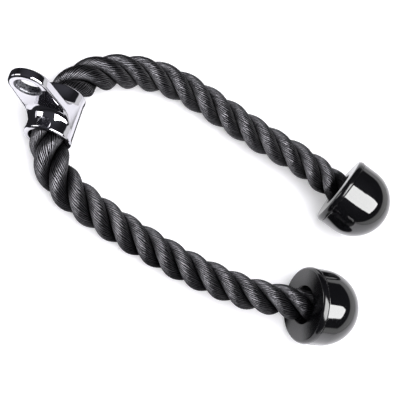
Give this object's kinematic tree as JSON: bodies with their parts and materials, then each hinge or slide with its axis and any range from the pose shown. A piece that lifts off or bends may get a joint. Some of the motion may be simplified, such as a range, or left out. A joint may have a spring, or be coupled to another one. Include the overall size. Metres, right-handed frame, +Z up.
{
  "type": "triceps rope attachment",
  "caption": "Short thick laid rope through a chrome eye collar, with a flat-faced ball knob on each end, lying in a U shape.",
  "frame": {"origin": "on the floor, under the middle of the box round the collar and the knobs", "axes": "+Z up from the floor; +X from the eye collar towards the knobs; +Y along the rope where it leaves the collar for the far leg"},
  "size_m": [0.3568, 0.1984, 0.0718],
  "materials": {
    "chrome": "polished chrome plate",
    "knob_black": "gloss moulded black",
    "inner_steel": "zinc plated",
    "rope_black": "laid black nylon"
  },
  "bodies": {
    "collar": {"eye_collar": "chrome", "rope_crown": "rope_black"},
    "near_leg": {"near_rope_leg": "rope_black", "near_washer": "inner_steel", "near_ferrule": "inner_steel"},
    "near_knob": {"near_knob_base": "knob_black", "near_knob_dome": "knob_black"},
    "far_leg": {"far_rope_leg": "rope_black", "far_washer": "inner_steel", "far_ferrule": "inner_steel"},
    "far_knob": {"far_knob_base": "knob_black", "far_knob_dome": "knob_black"}
  },
  "joints": [
    {"name": "near_leg_swing", "type": "hinge", "parent": "collar", "child": "near_leg", "pos_m": [-0.10955, -0.02963, 0.01758], "axis": [0, 0, 1], "range_deg": [-60, 3.5], "deforming": ["rope_crown"]},
    {"name": "far_leg_swing", "type": "hinge", "parent": "collar", "child": "far_leg", "pos_m": [-0.1124, 0.06797, 0.01776], "axis": [0, 0, 1], "range_deg": [-3.5, 60], "deforming": ["rope_crown"]},
    {"name": "near_knob_swivel", "type": "hinge", "parent": "near_leg", "child": "near_knob", "pos_m": [0.11616, -0.05751, 0.0329], "axis": [0.9781, 0.2079, 0], "continuous": true},
    {"name": "far_knob_swivel", "type": "hinge", "parent": "far_leg", "child": "far_knob", "pos_m": [0.12966, 0.05939, 0.03137], "axis": [0.9003, -0.3674, 0.2334], "continuous": true}
  ]
}
